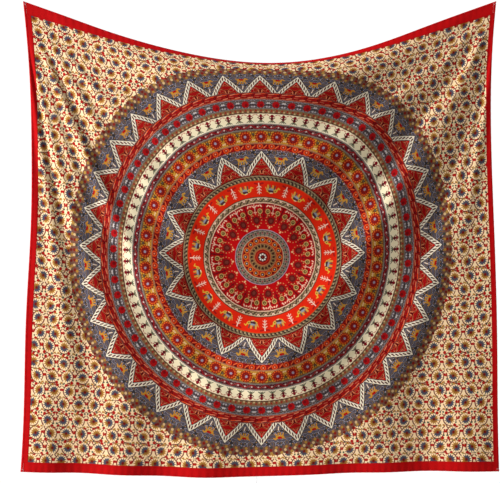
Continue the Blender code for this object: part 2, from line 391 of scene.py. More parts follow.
# %% A socket that does sums
class Wire:
    """A number, colour or vector that runs through one material or node group."""

    def __init__(self, tree, socket):
        self.tree, self.socket = tree, socket

    def node(self, kind, settings, values, output=0):
        """A new node: its settings, then a value or a Wire for each input named or numbered."""
        made = self.tree.nodes.new(kind)
        for name, setting in settings.items():
            setattr(made, name, setting)
        for key, value in values.items():
            if isinstance(value, Wire):
                self.tree.links.new(value.socket, made.inputs[key])
            else:
                made.inputs[key].default_value = value
        return Wire(self.tree, made.outputs[output])

    def sums(self, operation, *values):
        return self.node("ShaderNodeMath", {"operation": operation}, dict(enumerate(values)))

    def __add__(self, other):
        return self.sums("ADD", self, other)

    def __sub__(self, other):
        return self.sums("SUBTRACT", self, other)

    def __rsub__(self, other):
        return self.sums("SUBTRACT", other, self)

    def __mul__(self, other):
        return self.sums("MULTIPLY", self, other)

    def __truediv__(self, other):
        return self.sums("DIVIDE", self, other)

    def __abs__(self):
        return self.sums("ABSOLUTE", self)

    def __gt__(self, other):
        return self.sums("GREATER_THAN", self, other)

    __radd__, __rmul__ = __add__, __mul__

    def scaled(self, factor, plus):
        """self * factor + plus in one node."""
        return self.sums("MULTIPLY_ADD", self, factor, plus)

    def part(self):
        """The part after the decimal point: the place inside a repeat."""
        return self.sums("FRACT", self)

    def sine(self):
        return self.sums("SINE", self)

    def most(self, other):
        return self.sums("MAXIMUM", self, other)

    def rise(self, start, end):
        """0 before start, 1 past end and a smooth step between; start may lie past end."""
        return self.node("ShaderNodeMapRange", {"interpolation_type": "SMOOTHSTEP", "clamp": False},
                         {"Value": self, "From Min": start, "From Max": end})

    def vector(self, operation, *values, output=0):
        return self.node("ShaderNodeVectorMath", {"operation": operation},
                         dict(enumerate(values)), output)

    def away(self, other):
        """The distance between two places."""
        return self.vector("DISTANCE", self, other, output=1)

    def split(self):
        """The three numbers of a vector."""
        parts = self.node("ShaderNodeSeparateXYZ", {}, {0: self}).socket.node
        return [Wire(self.tree, socket) for socket in parts.outputs]

    def mixed(self, other, share):
        """This colour turned into the other by a share from 0 to 1."""
        return self.node("ShaderNodeMix", {"data_type": "RGBA"}, {0: share, 6: self, 7: other}, 2)


def dye(code):
    """The linear colour of a dye given as a six-figure hex code."""
    shares = [int(code[i:i + 2], 16) / 255 for i in (0, 2, 4)]
    return (*[s / 12.92 if s <= 0.04045 else ((s + 0.055) / 1.055) ** 2.4 for s in shares], 1.0)


print("cream:", [round(x, 2) for x in dye("F6E4B8")])

# %% [markdown]
# ## Drawing with masks
#
# Block printers lay one colour over another, and so does this print: a mask says where a motif
# is, and the colour so far is mixed with the motif's dye. Rings are painted from the outside in,
# each as a disc that covers what spilled inwards.
#
# Each kind of motif is made once, as a node group, and used many times.

# %% Node groups
FLOAT, VECTOR, COLOUR = "NodeSocketFloat", "NodeSocketVector", "NodeSocketColor"


def node_group(name, given, draw):
    """A reusable drawing step: `given` names its inputs, and draw() returns its colour."""
    group = bpy.data.node_groups.new(name, "ShaderNodeTree")
    for label, kind in given.items():
        group.interface.new_socket(label, in_out="INPUT", socket_type=kind)
    group.interface.new_socket("Colour", in_out="OUTPUT", socket_type=COLOUR)
    entry = group.nodes.new("NodeGroupInput")
    colour = draw(*[Wire(group, entry.outputs[label]) for label in given])
    group.links.new(colour.socket, group.nodes.new("NodeGroupOutput").inputs[0])
    return group


def motif(name, given, reach):
    """A group that lays a dye over the colour under it wherever reach() is below 0."""
    def draw(under, ink, bleed, *shape):
        return under.mixed(ink, reach(*shape).rise(bleed * 0.5, bleed * -0.5))
    return node_group(name, {"Under": COLOUR, "Dye": COLOUR, "Bleed": FLOAT, **given}, draw)


def bearing(place, centre):
    """The angle of a place round a centre. The dot products read its x and y."""
    apart = place.vector("SUBTRACT", place, centre)
    x, y = (apart.vector("DOT_PRODUCT", apart, axis, output=1) for axis in ((1, 0, 0), (0, 1, 0)))
    return y.sums("ARCTAN2", y, x)


def stroke_reach(place, start, end, width):
    """Distance to the nearest point of a line from start to end, less half the width."""
    apart, run = place.vector("SUBTRACT", place, start), end.vector("SUBTRACT", end, start)
    share = (apart.vector("DOT_PRODUCT", apart, run, output=1)
             / run.vector("DOT_PRODUCT", run, run, output=1))
    share = share.sums("MINIMUM", share, 1.0).most(0.0)
    nearest = run.node("ShaderNodeVectorMath", {"operation": "SCALE"}, {0: run, "Scale": share})
    return apart.away(nearest) - width * 0.5


def rays_reach(place, centre, count, reach, width):
    """Near a spoke, distance times |sine of half the count times the bearing| is small."""
    far = place.away(centre)
    spread = abs((bearing(place, centre) * (count * 0.5)).sine()) * far
    return (spread - width).most(far - reach)


def sunburst_reach(place, centre, radius, count, ragged):
    """A flower with pointed petals: the distance plus a share of the radius between petals."""
    petal = abs((bearing(place, centre) * (count * 0.5)).sine())
    return petal * (ragged * radius) + place.away(centre) - radius


def beads_reach(place, centre, count, radius, size):
    """A circle of beads: near the circle's line and near a spoke at once."""
    far = place.away(centre)
    spread = abs((bearing(place, centre) * (count * 0.5)).sine()) * (radius * 2) / count
    return spread.most(abs(far - radius)) - size


SPOT = {"Place": VECTOR, "Centre": VECTOR}
MOTIFS = {
    "disc": motif("disc", {**SPOT, "Radius": FLOAT}, lambda place, centre, radius:
                  place.away(centre) - radius),
    "ring": motif("ring", {**SPOT, "Radius": FLOAT, "Width": FLOAT},
                  lambda place, centre, radius, width:
                  abs(place.away(centre) - radius) - width * 0.5),
    "stroke": motif("stroke", {"Place": VECTOR, "Start": VECTOR, "End": VECTOR, "Width": FLOAT},
                    stroke_reach),
    "rays": motif("rays", {**SPOT, "Count": FLOAT, "Reach": FLOAT, "Width": FLOAT}, rays_reach),
    "beads": motif("beads", {**SPOT, "Count": FLOAT, "Radius": FLOAT, "Size": FLOAT}, beads_reach),
    "sunburst": motif("sunburst", {**SPOT, "Radius": FLOAT, "Count": FLOAT, "Ragged": FLOAT},
                      sunburst_reach),
}
print("motifs:", {name: len(group.nodes) for name, group in MOTIFS.items()})

# %% [markdown]
# One print unit is about 4.8 mm: the tips of the outer zigzag lie 187 units from the centre.

# %% Painting with motifs
UNIT = 0.905 / 187
BLEED = 0.34             # soft edge of a printed shape, in print units


def own_inputs(kind):
    """The inputs of a motif past the four that all motifs share."""
    return [item for item in MOTIFS[kind].interface.items_tree if item.in_out == "INPUT"][4:]


class Paint:
    """The colour so far, and the motifs that can be laid on it. In the mandala it also knows the
    turn (shares of a full circle) and the radius."""

    def __init__(self, colour, bleed, turn=None, radius=None):
        self.colour, self.bleed, self.turn, self.radius = colour, bleed, turn, radius

    def use(self, kind, code, place, *shape):
        """Lays one motif: its numbers and two-number places follow in the order of its inputs."""
        values = {"Under": self.colour, "Dye": dye(code), "Bleed": self.bleed, "Place": place.at}
        for item, value in zip(own_inputs(kind), shape):
            values[item.name] = (*value, 0.0) if isinstance(value, tuple) else value
        self.colour = self.colour.node("ShaderNodeGroup", {"node_tree": MOTIFS[kind]}, values)

    def marks(self, place, table):
        """Lays a table of motifs in order, one to a line or after a semicolon: the kind, the dye
        and its numbers, two of them for a place."""
        for row in table.replace(";", "\n").strip().splitlines():
            kind, code, *numbers = row.split()
            number = iter(float(text) for text in numbers)
            self.use(kind, code, place, *[
                (next(number), next(number)) if item.socket_type == VECTOR else next(number)
                for item in own_inputs(kind)])

    def scrolls(self, place, waves, start, mask, *dyes):
        """Fine scrollwork: lines where a noise over the place crosses a level. `waves` is how many
        to a unit, `start` moves the noise, and each dye comes with its level and its width."""
        moved = place.at.vector("ADD", place.at, (start, start, 0))
        field = moved.node("ShaderNodeTexNoise", {"noise_dimensions": "2D"},
                           {"Vector": moved, "Scale": waves, "Detail": 0.0})
        for code, level, width in dyes:
            self.lay(code, abs(field - level).rise(width * 1.3, width * 0.7) * mask)

    def lay(self, code, mask):
        """Lays a dye through any mask."""
        self.colour = self.colour.mixed(dye(code), mask)

    def inside(self, distance, limit=0.0):
        """A mask: 1 where the distance is below the limit, 0 above, with a soft edge."""
        return distance.rise(limit + self.bleed / 2, limit - self.bleed / 2)

    def cover(self, code, limit):
        """A whole disc out to a limit: the base of a ring. Returns its mask."""
        mask = self.inside(self.radius, limit)
        self.lay(code, mask)
        return mask

    def line(self, code, at, width):
        """A thin circle round the mandala's centre."""
        self.lay(code, self.inside(abs(self.radius - at), width / 2))


class Place:
    """Where a motif is drawn: x to the right (clockwise), y upwards (outwards)."""

    def __init__(self, x, y):
        self.x, self.y = x, y
        self.at = x.node("ShaderNodeCombineXYZ", {}, {0: x, 1: y})


class Ring(Place):
    """Equal places round a ring; `folded` is the same with its left half a mirror of its right."""

    def __init__(self, paint, count, middle, shift=0.5):
        self.length = 2 * math.pi * middle / count
        self.share = paint.turn.scaled(count, shift).part() - 0.5
        super().__init__(self.share * self.length, paint.radius - middle)
        self.folded = Place(abs(self.x), self.y)


print("one print unit:", round(UNIT * 1000, 2), "mm")

# %% [markdown]
# ## The flowered ground
#
# Outside the mandala the print repeats every 228 by 260 mm: three columns and four rows of
# ragged flowers, half grey and half ochre, with red-brown arcs around them, buds between the
# rows, and small leaves. Rows are not quite evenly spaced and each has its own sideways shift.

# %% Ground
GROUND_WIDE, GROUND_HIGH = 75.9, 260.5                            # one repeat, millimetres
ROWS = ((0.0, 0.0), (0.290, 0.0), (0.515, 0.39), (0.769, 0.23))   # share up, share across
FLOWER_RADIUS, PETALS = 27.0, 13
GROUND_BLEED = 1.2
CREAM, OCHRE, SLATE, VINE, BUD = "FBDCAE", "B47A2A", "4C4E60", "70100C", "AC1410"
OLIVE, GREEN = "8A7A3C", "4A5340"


def nearest_flower(x, y):
    """The place relative to the nearest row's flower, in millimetres, and a number that differs
    from flower to flower. Each row takes over half way from the row below."""
    repeat = y / GROUND_HIGH
    height = repeat.part()
    rise, shift, row = height * 0, height * 0, height * 0
    ups = [*ROWS, (1.0, 0.0)]
    for below, above in zip(ups, ups[1:]):
        past = height > (below[0] + above[0]) / 2
        rise = past.scaled(above[0] - below[0], rise)
        shift = past.scaled(above[1] - below[1], shift)
        row = row + past
    column = x / GROUND_WIDE - shift
    place = Place((column.part() - 0.5) * GROUND_WIDE, (height - rise) * GROUND_HIGH)
    number = row.scaled(1.7, repeat.sums("FLOOR", repeat) * 0.9)
    return place, column.sums("FLOOR", column).scaled(2.399, number)


def draw_ground(x, y):
    """Vines (two arcs of a circle round each flower and a sine wave below the row), leaves and
    buds, and on top the ragged flower: half ochre, half grey. `tilt` is the height above the line
    that halves it. Every other flower's surroundings are a mirror image."""
    paint = Paint(x.node("ShaderNodeRGB", {}, {}), GROUND_BLEED)
    paint.colour.socket.default_value = dye(CREAM)
    centred, number = nearest_flower(x, y)
    side = (number.sine() > 0.0).scaled(2, -1)
    place = Place(centred.x * side, centred.y)
    far = place.at.away((0, 0, 0))
    angle = number * 1.9
    tilt = place.x * angle.sine() + place.y * angle.sums("COSINE", angle)
    arcs = paint.inside(abs(far - 30), 2.5)
    paint.lay(VINE, arcs * tilt.rise(6, 10))
    paint.lay(VINE, arcs * tilt.rise(-19, -23))
    wave = (place.x * (2 * math.pi / 38)).sine()
    paint.lay(VINE, paint.inside(abs(wave.scaled(4.0, -34) - place.y), 1.7))
    paint.marks(place, f"""
        stroke {VINE} -30 -6 -22 -21 4.4; stroke {VINE} -26 16 -34 24 4.4; stroke {VINE} 24 18 33 27 4.4
        stroke {VINE} -6 27 2 34 4.0; stroke {BUD} 35 1 33 11 7.6; stroke {OCHRE} -24 -29 -31 -26 7.0
        stroke {OLIVE} 15 27 21 32 5.4; stroke {VINE} 8 -28 2 -35 4.0
        disc {BUD} 24 -27 7.6; disc {BUD} -16 29 7.8; disc {BUD} -34 6 6.4; disc {GREEN} 30 -14 4.4
        disc {GREEN} -14 -31 4.6; disc {OCHRE} 8 31 6.4; disc {GREEN} -31 33 4.6; disc {BUD} 31 35 6.8
        disc {BUD} -3 -38 6.4; disc {BUD} 4 38 6.4; disc {GREEN} 18 -37 4.4""")
    petal = abs((bearing(place.at, (0, 0, 0)) * (PETALS / 2)).sine())
    flower = paint.inside(petal.scaled(0.38 * FLOWER_RADIUS, far), FLOWER_RADIUS)
    paint.lay(OCHRE, flower)
    paint.lay(SLATE, flower * tilt.rise(-3, 3))
    paint.lay("4A3A34", paint.inside(abs(petal.scaled(6, far) - 14), 1.3))
    paint.lay("701410", paint.inside(petal.scaled(2.5, far), 8.4))
    return paint.colour


ground = node_group("flowered_ground", {"X": FLOAT, "Y": FLOAT}, draw_ground)
print("ground nodes:", len(ground.nodes))

# %% [markdown]
# ## The mandala
#
# Twenty rings, from the speckled ochre rim to the white flower in the middle. Each ring is a
# function that lays its base colour as a disc and then its motifs, in places that repeat evenly
# round it. The two zigzag rings are triangle waves of the angle.

# %% Outer rings
RED, DEEP, PALE = "C00A0A", "A00A0C", "E6CDB4"
SALMON, SLATE_DARK = "D8906C", "4E4852"


def animal(paint, place, centre, size, coat, cloth):
    """A small running beast in strokes: body, neck, head, four legs, tail and saddle cloth. It
    faces clockwise, with its feet inwards."""
    def spot(ahead, above):
        return (centre[0] + size * ahead, centre[1] + size * above)

    for start, end, width in (
            ((-1.7, 0.1), (1.3, 0.0), 1.9), ((1.3, 0.3), (2.4, 1.3), 1.0),
            ((2.4, 1.3), (3.3, 0.7), 0.9), ((-1.8, -0.4), (-2.4, -2.2), 0.7),
            ((-0.8, -0.4), (-0.7, -2.3), 0.7), ((0.8, -0.4), (0.6, -2.3), 0.7),
            ((1.5, -0.4), (2.3, -2.0), 0.7), ((-2.3, 0.6), (-3.2, 1.4), 0.5)):
        paint.use("stroke", coat, place, spot(*start), spot(*end), width * size)
    paint.use("stroke", cloth, place, spot(-0.8, 0.5), spot(0.6, 0.4), 1.2 * size)


def zigzag(paint, count, tip, valley, band, coat):
    """A ring of triangles: the edge is tip - (tip - valley) |share| 2, a pale band with dots runs
    along it, red lies inside it and slate with a beast outside."""
    middle = (tip + valley) / 2
    ring, gaps = (Ring(paint, count, middle, shift) for shift in (0.5, 0.0))
    rise, half = tip - valley, ring.length / 2
    side = math.hypot(rise, half)
    slope = abs(ring.share)
    out = (paint.radius - slope.scaled(-2 * rise, tip)) * (half / side)
    field = paint.inside(paint.radius, tip + 1.5)
    paint.scrolls(gaps.folded, 0.25, 3.0, field, ("2E2A2C", 0.52, 0.045), ("B8AEB4", 0.40, 0.018),
                  ("A87A30", 0.62, 0.020))
    animal(paint, gaps, (-0.4, rise * 0.17), rise / 13, coat, DEEP)
    paint.use("stroke", PALE, gaps, (0.2, -rise * 0.16), (-0.5, -rise * 0.30), 1.0)
    red = paint.inside(out, -2)
    paint.lay("94080A", red)
    paint.scrolls(ring.folded, 0.22, 11.0, red, ("4A0A0C", 0.52, 0.045), ("D08858", 0.42, 0.016),
                  ("B86430", 0.62, 0.016))
    for centre, size in (((0, rise * 0.10), 0.24), ((half * 0.48, -rise * 0.24), 0.17)):
        paint.use("rays", SALMON, ring.folded, centre, 6, rise * size, 0.42)
        paint.use("disc", RED, ring.folded, centre, rise * 0.05)
    for code, start, end, width in (("D87828", (0.18, 0.02), (0.40, -0.12), 0.9),
                                    (PALE, (0.60, -0.44), (0.76, -0.36), 0.7)):
        paint.use("stroke", code, ring.folded, (half * start[0], rise * start[1]),
                  (half * end[0], rise * end[1]), width)
    away = abs(out + band / 2)
    paint.lay("46383A", paint.inside(away, band / 2 + 0.7))
    paint.lay("E6D8C0", paint.inside(away, band / 2))
    beads = round(side / (band * 1.05))
    spot = Place((slope.scaled(2 * beads, 0).part() - 0.5) * (side / beads), out + band / 2)
    paint.use("disc", "2A1C1A", spot, (0, 0), band * 0.33)
    odd = slope.scaled(beads, 0.25).part() > 0.5
    paint.lay("7A1414", paint.inside(spot.at.away((0, 0, 0)), band * 0.2) * odd)


def outer_rings(paint):
    """From the speckled ochre rim in to the dark band."""
    edge = abs((paint.turn * (112 * math.pi)).sine()).scaled(2.2, 195.6)
    rim = paint.inside(paint.radius - edge)
    paint.lay("6E4A3C", rim)
    for count, middle, code, other, size in (
            (120, 195.4, "A8803C", "6A1A14", 1.5), (126, 192.4, "7C1C14", "C8A878", 1.5),
            (120, 189.6, "3A3E3A", "A0762E", 1.5)):
        row = Ring(paint, count, middle)
        paint.use("disc", code, row, (0, 0), size)
        paint.use("disc", other, row.folded, (row.length / 2, 0.5), size * 0.9)
    paint.cover(SLATE_DARK, 188.4)
    zigzag(paint, 32, 187, 165, 3.8, "BC8028")

    red = paint.cover("98100E", 165)
    dashes = Ring(paint, 80, 161)
    paint.scrolls(dashes, 0.30, 8.0, red, ("5A080C", 0.5, 0.08))
    paint.line("6E3A34", 164.6, 0.8)
    for out, start in ((2.2, -4.4), (-1.6, 0.4)):
        paint.use("stroke", "DC7A58", dashes, (start, out - 0.35), (start + 4.6, out + 0.35), 0.9)
    paint.marks(dashes, "stroke D8441C 0.8 2.4 4.6 2.8 1.0; stroke B85A40 -5.4 -0.2 -1.6 -0.6 0.7")
    paint.line("B06A48", 158.0, 0.6)

    dark = paint.cover("4E4040", 157.3)
    knots = Ring(paint, 64, 151.6)
    paint.scrolls(knots.folded, 0.36, 5.0, dark, ("8E8890", 0.42, 0.045), ("241A1A", 0.57, 0.05))
    paint.line("857C7C", 156.6, 0.7)
    paint.line("6E5A4C", 155.0, 0.6)
    paint.marks(knots.folded, "disc C8BAB4 6.6 1.9 0.9; disc B0A6A6 6.2 -2.2 0.9")
    hooks = Ring(paint, 32, 151.6, shift=0.25)
    paint.marks(hooks, "ring B87424 7.2 0.8 1.9 1.0; disc 7A1418 -7.4 1.6 1.4")
    paint.marks(knots, "sunburst A40C10 0 0.2 4.2 10 0.24; disc 78080E 0.8 -0.6 1.5")
    paint.line("7A7068", 147.6, 0.7)

    tan = paint.cover("8E6A44", 147)
    seeds = Ring(paint, 180, 144.6)
    paint.scrolls(seeds.folded, 0.6, 2.0, tan, ("4E3226", 0.5, 0.07))
    paint.marks(seeds, "disc 962820 0.4 0.6 1.0")
    paint.marks(seeds.folded, "disc C8A878 2.3 -0.7 0.7")
    paint.line("6A4030", 142.4, 0.6)

    paint.cover("F4E4BE", 142)
    trees = Ring(paint, 80, 137)
    paint.marks(trees.folded, """
        stroke C88C74 3.4 3.4 4.6 4.0 1.1; stroke 5E5E48 0.3 -1.6 3.5 -4.3 0.9
        stroke 46503C 0.2 -2.6 1.4 -4.6 0.9; stroke 7A3A2C 0 -1.6 2.8 1.0 0.9
        stroke A0303A 0 1.4 2.4 2.4 0.9""")
    paint.marks(trees, "disc 80101C 0 2.9 1.45; disc 54101C 0 0.2 1.3")
    paint.line("F0E2C4", 132.4, 0.8)

    maroon = paint.cover("4C1218", 131.8)
    vine = Ring(paint, 60, 128.4)
    paint.scrolls(vine.folded, 0.36, 9.0, maroon, ("96605C", 0.45, 0.045))
    paint.line("8A8078", 131.2, 0.8)
    wave = (vine.share * (2 * math.pi)).sine()
    paint.lay("8A141A", paint.inside(abs(wave.scaled(1.5, 0) - vine.y), 0.7) * maroon)
    paint.marks(vine.folded, "disc D0B0A8 3.4 0 0.8")
    paint.marks(vine, "disc 3C4038 0 1.4 0.8")
    paint.line("74706C", 125.5, 1.0)


# %% Middle rings
def elephant(paint, place):
    """An elephant in strokes, facing clockwise with its feet outwards: body, head, trunk, legs,
    ear, tail, a dark cloth with a pale hem, and an eye."""
    paint.marks(place, """
        stroke A88458 -2.6 0.2 2.2 -0.2 4.6; stroke C89A40 3.6 -1.2 4.6 -0.6 3.0
        stroke D8A030 5.4 -0.4 6.6 2.4 1.2; stroke D8A030 6.6 2.4 8.2 1.6 1.0
        stroke C8963C -3.4 1.4 -3.6 4.0 1.5; stroke 5A4438 -1.6 1.8 -1.5 4.0 1.3
        stroke C8963C 1.2 1.8 1.1 4.0 1.4; stroke 5A4438 2.9 1.2 3.3 3.9 1.3
        stroke D8A030 -4.2 -1.6 -0.6 -3.4 1.0; stroke C89A40 -4.6 -0.4 -5.8 2.2 0.7
        stroke 482830 -1.8 -1.4 1.4 -1.7 2.6; stroke 8A8C9C -1.6 0.4 1.4 0.2 1.6
        stroke E0C498 -0.4 -3.1 1.4 -3.0 1.0; stroke 241414 4.0 -0.9 4.2 -0.8 0.9""")


def middle_rings(paint):
    """From the ochre ring of sunbursts in to the rope round the elephants."""
    ochre = paint.cover("C0841C", 125)
    blooms = Ring(paint, 48, 118.3)
    paint.scrolls(blooms.folded, 0.33, 4.0, ochre, ("7A3A16", 0.5, 0.055), ("E4B860", 0.39, 0.035))
    paint.line("5E5A44", 124.4, 0.8)
    paint.marks(blooms.folded, """
        disc 5E6244 7.6 2.8 1.4; disc D8B080 6.8 -3.2 1.0; stroke 5A1E14 6.4 4.4 7.6 0.6 0.8""")
    paint.marks(blooms, """
        sunburst 8A160E 0 0 7.0 15 0.20; beads D85A1C 0.2 0 12 4.6 0.62; disc 7A1014 0.3 0 3.3
        rays C84A28 0.3 0 8 3.0 0.28; disc 9C8C9C -0.3 0.4 1.3""")
    paint.line("B0805C", 112.4, 0.6)

    red = paint.cover("A0120E", 112)
    scrolls = Ring(paint, 60, 108.6)
    paint.scrolls(scrolls, 0.34, 14.0, red, ("5A080C", 0.5, 0.07))
    paint.marks(scrolls, """
        ring D84818 -1.4 0.4 2.3 1.2; disc E08860 -1.4 0.5 0.8; stroke DC6434 2.0 -1.4 5.0 1.2 1.0
        disc 4E0A10 3.2 2.0 1.0""")
    paint.line("A06A4C", 111.5, 0.6)
    paint.line("865850", 105.6, 0.8)

    paint.cover(SLATE_DARK, 105)
    zigzag(paint, 16, 104.4, 81.5, 3.7, "C08A34")

    paint.cover("5E0C10", 81)
    braid = paint.cover("746048", 80)
    twist = Ring(paint, 120, 77.5)
    strand = (twist.share + twist.y * 0.16).part() - 0.5
    paint.lay("34241E", abs(strand).rise(0.26, 0.18) * braid)
    paint.marks(twist, "disc B09A70 0.9 -0.6 0.7")
    paint.line("9A8460", 79.4, 0.6)
    paint.line("A05828", 75.3, 0.6)

    paint.cover("D42206", 75)
    herd = Ring(paint, 16, 67, shift=0.11)
    paint.marks(herd.folded, "stroke 9C1410 11.6 5.0 9.4 5.6 1.6")
    elephant(paint, Place(herd.x + 1.0, herd.y + 0.2))
    grove = Ring(paint, 16, 67, shift=0.61)
    paint.marks(grove, "rays 5C2820 0 0.2 10 4.6 0.40; stroke E6C8B4 0 5.6 0 -4.8 0.8")
    for up in (3.2, 0.4, -2.2):
        paint.use("stroke", "E0B8A0", grove.folded, (0.1, up), (2.0, up - 1.6), 0.7)

    paint.cover("4E1A14", 59.6)
    plaited = paint.cover("A08460", 59)
    rope = Ring(paint, 48, 56)
    paint.scrolls(rope.folded, 0.42, 6.0, plaited, ("3C2C24", 0.5, 0.07))
    paint.marks(rope, "stroke 4C382A -1.6 -1.4 1.6 1.4 1.5")
    paint.marks(rope.folded, "stroke E0B8A0 3.7 0.6 2.6 1.8 1.0")
    paint.line("D0B090", 58.4, 0.6)
    paint.line("DCB498", 53.6, 0.8)


# %% Inner rings
def inner_rings(paint):
    """The red field with its rosettes, and the small rings round the white flower."""
    paint.cover("7C0A10", 53.2)
    field = paint.cover("AC060A", 52.4)
    cells = Ring(paint, 16, 42, shift=-0.09)
    edges = Ring(paint, 16, 42, shift=0.41)
    fans = Ring(paint, 16, 49, shift=-0.09)
    paint.scrolls(fans.folded, 0.34, 3.0, field, ("70060A", 0.5, 0.06))
    paint.cover("B80408", 35.5)
    paint.lay("6A0810", paint.inside(abs(edges.x), 0.6) * paint.inside(paint.radius, 52.4)
              * paint.radius.rise(36, 40))
    paint.marks(fans, "stroke DCA890 0 -6.5 0 3.6 0.7")
    paint.marks(fans.folded, """
        stroke E0AC94 0.2 0.2 2.2 2.2 1.0; stroke E4B098 5.8 2.4 6.8 1.0 1.2; disc E8B898 4.0 1.8 0.8
        disc DCA080 1.2 -4.6 0.7; disc BC9458 5.4 -3.6 2.6; disc 5E4A20 5.4 -3.6 1.8
        disc B08850 5.2 -3.2 0.6; stroke BC9058 5.3 -6.0 5.2 -8.2 0.7""")
    paint.marks(cells, """
        beads C88C54 0 -5.4 12 5.9 0.5; sunburst 641410 0 -5.4 4.9 14 0.34
        rays 4E1410 0 -5.4 12 3.6 0.40; disc 6E2E24 0 -5.4 1.8; disc E0A878 0 -11.8 1.3""")
    paint.marks(cells.folded, "disc D8A070 2.2 -10.6 0.5")

    paint.cover("A08C9C", 27.6)
    dark = paint.cover("4E4040", 26.9)
    band = Ring(paint, 32, 23.8)
    paint.scrolls(band.folded, 0.5, 7.0, dark, ("9A8A74", 0.45, 0.06))
    paint.marks(band, "ring 84745E 0 0 1.7 0.7")
    paint.marks(band.folded, "disc 281A18 2.3 0.2 0.8")
    paint.marks(band, "disc A03840 0 0.1 0.7")
    paint.line("B09878", 20.9, 0.7)

    wine = paint.cover("A4120C", 20.5)
    bloom = Ring(paint, 16, 17.1)
    paint.scrolls(bloom.folded, 0.42, 2.0, wine, ("C04818", 0.5, 0.05))
    paint.marks(bloom.folded, "disc 5E0C0E 3.3 1.6 1.0")
    paint.marks(bloom, "ring C8762C 0 0 2.2 0.7; disc 3C2420 0 0 1.6; disc B8B0B4 0.1 0.1 0.7")

    paint.cover("B87044", 14.0)
    plum = paint.cover("6E4A30", 13.2)
    blocks = Ring(paint, 20, 10.7)
    paint.scrolls(blocks, 0.6, 5.0, plum, ("A88450", 0.5, 0.08))
    paint.marks(blocks, "disc 3A1C16 0 0.4 1.2")
    paint.cover("C06A3C", 8.4)
    paint.cover("8C1410", 7.7)
    paint.line("B83018", 5.8, 0.9)
    paint.cover("501012", 4.4)
    petals = Ring(paint, 8, 2.9)
    paint.marks(petals, "disc E4D8C8 0 0 0.9")
    paint.cover("3C0A0E", 1.5)
    paint.cover("B03028", 0.6)


def ring_group(name, draw):
    """A node group that paints some rings over the colour under them."""
    def painted(under, turn, radius):
        paint = Paint(under, BLEED, turn, radius)
        draw(paint)
        return paint.colour
    return node_group(name, {"Under": COLOUR, "Turn": FLOAT, "Radius": FLOAT}, painted)


RING_GROUPS = [ring_group(rings.__name__, rings) for rings in (outer_rings, middle_rings, inner_rings)]
print("nodes in the rings:", [len(rings.nodes) for rings in RING_GROUPS])

# %% [markdown]
# ## The printed cotton
#
# The front takes the print at full strength. On thin cotton the ink strikes through, so the
# reverse shows the same print paler and flatter. Both get the small unevenness of the ink, and
# slubs: thicker stretches of yarn that run both ways, as a bump.

# %% Cloth materials
CLOTH_ROUGHNESS, ROUGHER = 0.80, 0.08
SHEEN, SPECULAR = 0.02, 0.06
WOBBLE = 0.0030                 # metres
GROUND_START = (12.0, 30.0)     # where the ground's repeat begins, millimetres


def cloth_material(name):
    """A new matt woven material: the material, its shader and its flat cloth coordinates."""
    material = bpy.data.materials.new(name)
    material.use_nodes = True
    shader = material.node_tree.nodes["Principled BSDF"]
    shader.inputs["Specular IOR Level"].default_value = SPECULAR
    shader.inputs["Sheen Weight"].default_value = SHEEN
    shader.inputs["Sheen Roughness"].default_value = 0.5
    uv = material.node_tree.nodes.new("ShaderNodeUVMap")
    uv.uv_map = "cloth"
    return material, shader, Wire(material.node_tree, uv.outputs[0])


def noise(place, scale, detail=1.0, output=0):
    """Cloudy variation from 0 to 1 with so many waves to the metre; output 1 is a colour."""
    return place.node("ShaderNodeTexNoise", {"noise_dimensions": "2D"},
                      {"Vector": place, "Scale": scale, "Detail": detail}, output)


def weave(shader, uv):
    """Yarn slubs as a bump: noise stretched along the weft plus noise stretched along the warp."""
    weft = noise(uv.vector("MULTIPLY", uv, (0.07, 1, 1)), 620, 0)
    warp = noise(uv.vector("MULTIPLY", uv, (1, 0.07, 1)), 620, 0)
    bump = uv.node("ShaderNodeBump", {}, {"Height": weft + warp, "Distance": 0.00035, "Strength": 0.6})
    uv.tree.links.new(bump.socket, shader.inputs["Normal"])
    return weft + warp


def colour_cloth(shader, colour, slubs):
    """Joins a colour and a roughness that is a little higher on the slubs."""
    rough = slubs.scaled(ROUGHER, CLOTH_ROUGHNESS - ROUGHER)
    colour.tree.links.new(colour.socket, shader.inputs["Base Color"])
    colour.tree.links.new(rough.socket, shader.inputs["Roughness"])


def draw_print(uv):
    """The whole print: the ground, then the rings from the outside in, all slightly wobbly as
    hand printing is, and the small unevenness of the ink."""
    placed = uv.vector("MULTIPLY_ADD", noise(uv, 55.0, 1.0, 1), (WOBBLE, WOBBLE, 0), uv)
    placed = placed.vector("SUBTRACT", placed, (WOBBLE / 2, WOBBLE / 2, 0))
    x, y, _ = placed.split()
    colour = x.node("ShaderNodeGroup", {"node_tree": ground}, {
        "X": x.scaled(1000, GROUND_START[0]), "Y": y.scaled(1000, GROUND_START[1])})
    radius = placed.away((0, 0, 0)) / UNIT
    turn = x.sums("ARCTAN2", x, y) / (2 * math.pi)
    for rings in RING_GROUPS:
        colour = colour.node("ShaderNodeGroup", {"node_tree": rings},
                             {"Under": colour, "Turn": turn, "Radius": radius})
    ink = noise(uv, 300, 2).scaled(0.22, 0.89)
    grey = uv.node("ShaderNodeCombineColor", {}, {0: ink, 1: ink, 2: ink})
    return uv.node("ShaderNodeMix", {"data_type": "RGBA", "blend_type": "MULTIPLY"},
                   {0: 1.0, 6: colour, 7: grey}, 2)


whole_print = node_group("whole_print", {"Flat": VECTOR}, draw_print)


def printed_cotton(name, faded):
    """The print on cotton, mixed with pale cotton by a share."""
    material, shader, uv = cloth_material(name)
    slubs = weave(shader, uv)
    colour = uv.node("ShaderNodeGroup", {"node_tree": whole_print}, {"Flat": uv})
    if faded:
        colour = colour.mixed(dye("E2CDA4"), faded)
    colour_cloth(shader, colour, slubs)
    return material


